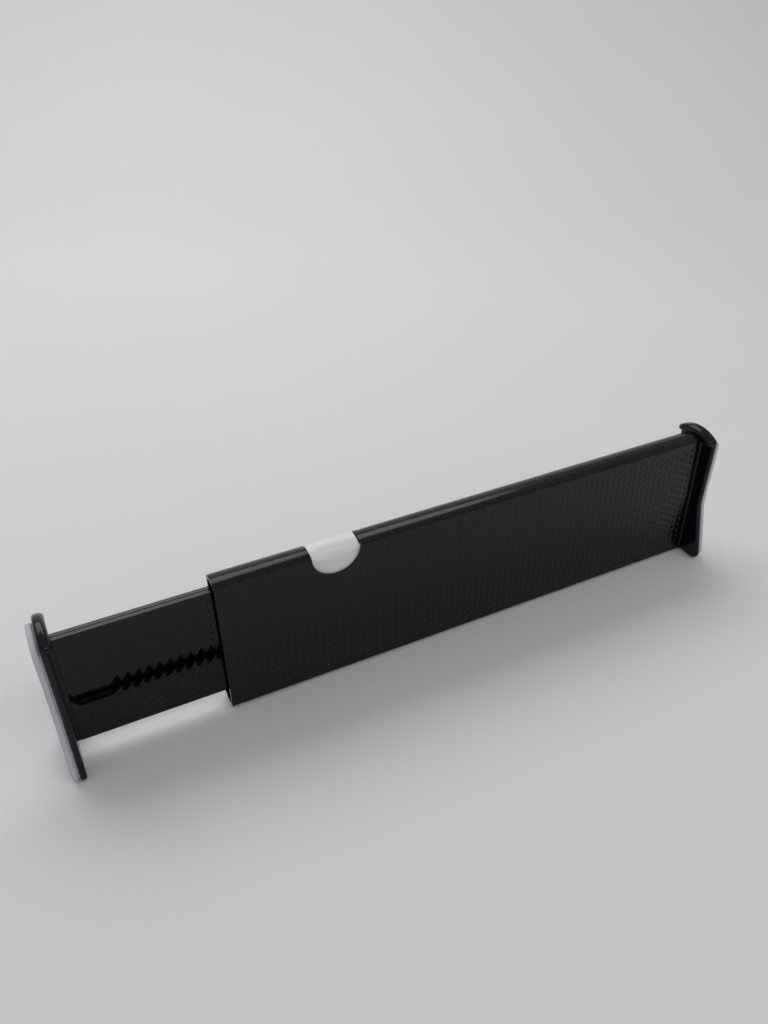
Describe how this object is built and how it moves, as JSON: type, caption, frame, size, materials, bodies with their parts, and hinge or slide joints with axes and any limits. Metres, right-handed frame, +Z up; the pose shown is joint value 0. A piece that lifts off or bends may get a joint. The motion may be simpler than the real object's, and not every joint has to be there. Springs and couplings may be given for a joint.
{
  "type": "expanding drawer divider",
  "caption": "Two-stage drawer divider: a notched slider runs in a flat sleeve and locks by a latch pin; a push button frees it. Each end has a foot plate with a foam pad.",
  "frame": {"origin": "middle of the footprint, on the drawer floor that the foot plates stand on", "axes": "+X along the divider from the slider's end to the sleeve's end, +Z up, and -Y out of the side that shows the notched slot"},
  "size_m": [0.3736, 0.0368, 0.0831],
  "materials": {
    "black_plastic": "semi-gloss moulded black plastic with a honeycomb of shallow dimples on the flat faces",
    "lever_plastic": "plain moulded black acetal",
    "white_plastic": "satin white moulded plastic",
    "foam_pad": "fine closed-cell foam, pale lilac grey",
    "mounting_tape": "double-sided film tape",
    "steel": "bright zinc-plated steel"
  },
  "bodies": {
    "sleeve": {"sleeve_front_shell": "black_plastic", "sleeve_back_shell": "black_plastic", "fixed_end_plate": "black_plastic", "fixed_plate_screws": "steel", "fixed_pad_tape": "mounting_tape", "fixed_end_pad": "foam_pad", "lever_pivot_stud": "steel", "return_spring": "steel"},
    "slider": {"slider_front_panel": "black_plastic", "slider_back_panel": "black_plastic", "slider_end_plate": "black_plastic", "slider_plate_screws": "steel", "slider_pad_tape": "mounting_tape", "slider_end_pad": "foam_pad"},
    "lever": {"latch_lever": "lever_plastic", "latch_pin": "steel"},
    "button": {"release_button": "white_plastic"}
  },
  "joints": [
    {"name": "slider_extend", "type": "slide", "parent": "sleeve", "child": "slider", "axis": [-1, 0, 0], "range_m": [-0.07, 0.17]},
    {"name": "button_press", "type": "slide", "parent": "sleeve", "child": "button", "axis": [0, 0, -1], "range_m": [0, 0.0021], "stiffness_N_per_m": 600, "springref_m": -0.003},
    {"name": "lever_rock", "type": "hinge", "parent": "sleeve", "child": "lever", "pos_m": [-0.0657, -0.0039, 0.03315], "axis": [0, 1, 0], "range_deg": [0, 6.4], "deforming": ["return_spring"]}
  ],
  "couplings": [
    {"joint": "lever_rock", "follows": "button_press", "rad_per_m": 53.1}
  ]
}
